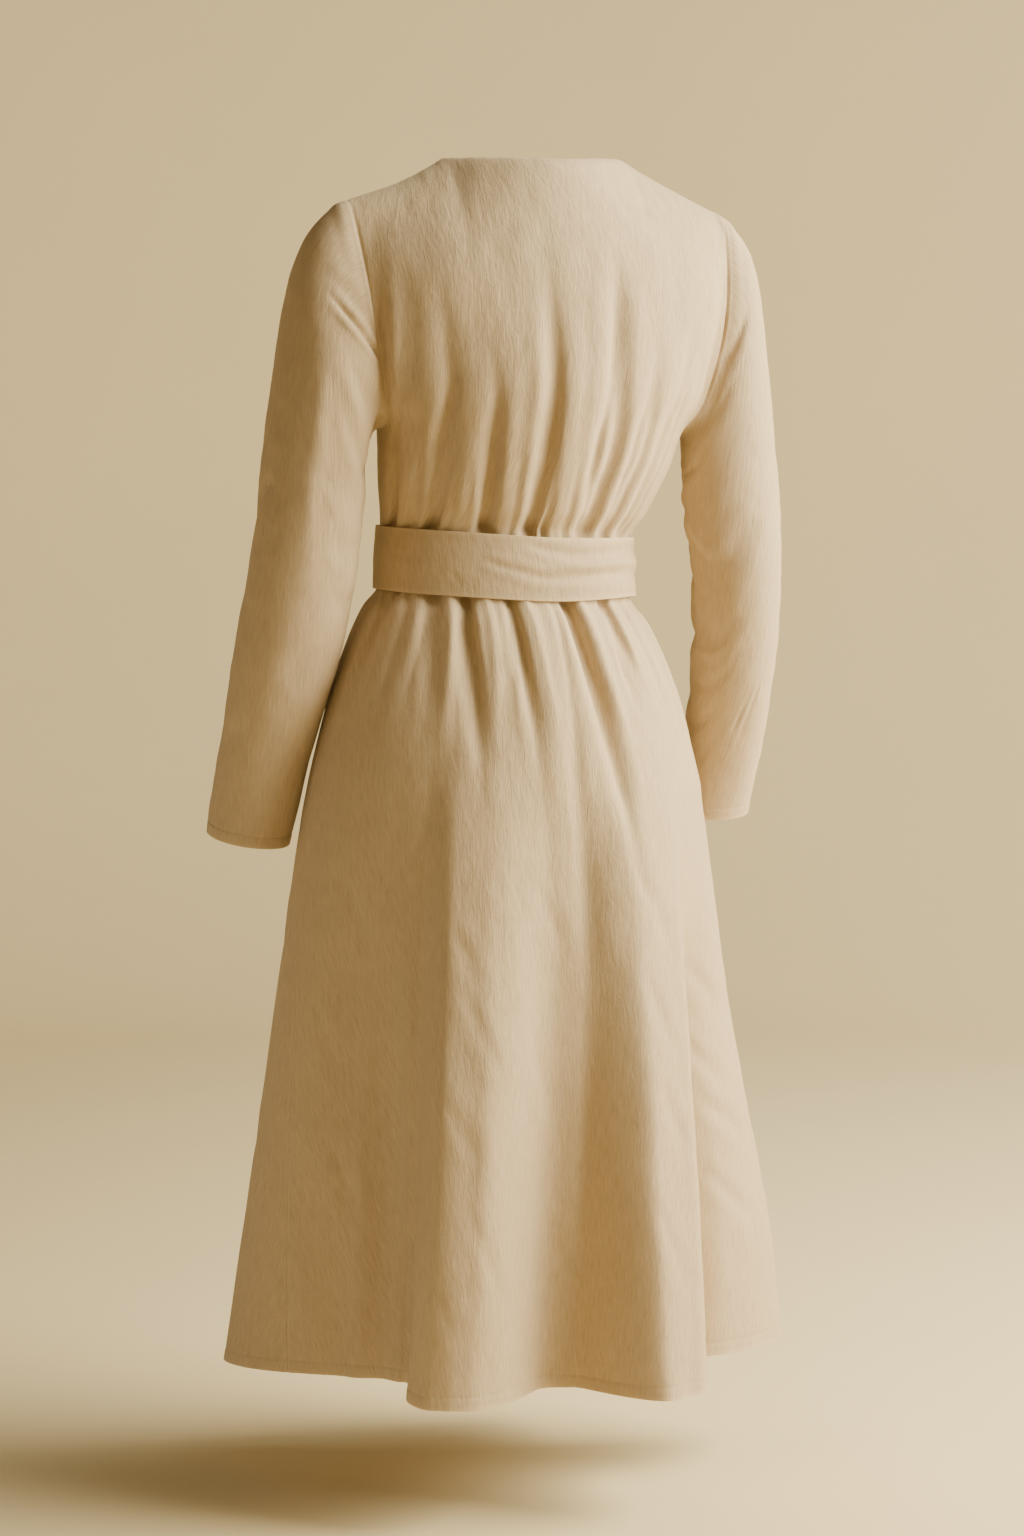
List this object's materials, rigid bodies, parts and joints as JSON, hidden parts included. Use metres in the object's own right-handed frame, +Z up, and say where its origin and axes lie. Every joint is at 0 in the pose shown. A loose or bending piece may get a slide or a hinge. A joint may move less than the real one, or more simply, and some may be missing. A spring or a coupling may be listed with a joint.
{
  "type": "wrap dress",
  "caption": "Long-sleeved wrap dress in plain sand-coloured cloth, filled out as worn, with a gathered back, a flared midi skirt and a flat tie belt knotted at the front.",
  "frame": {"origin": "between the shoulders, inside the neck opening, at the height of the shoulder seams, where the wearer holds the dress up", "axes": "+Z up, the front of the dress faces -Y, the wearer's left is +X"},
  "size_m": [0.6064, 0.4763, 1.2052],
  "materials": {
    "dress_cloth": "matte woven cloth, softly napped",
    "belt_cloth": "matte woven cloth, softly napped, doubled"
  },
  "bodies": {
    "root": {"bodice_back": "dress_cloth", "bodice_front_right": "dress_cloth", "bodice_front_left": "dress_cloth", "sleeve_left": "dress_cloth", "sleeve_right": "dress_cloth", "skirt_back": "dress_cloth", "skirt_front_right": "dress_cloth", "skirt_front_left": "dress_cloth", "belt_band": "belt_cloth", "belt_knot": "belt_cloth", "belt_end_over": "belt_cloth", "belt_end_under": "belt_cloth"}
  },
  "joints": []
}
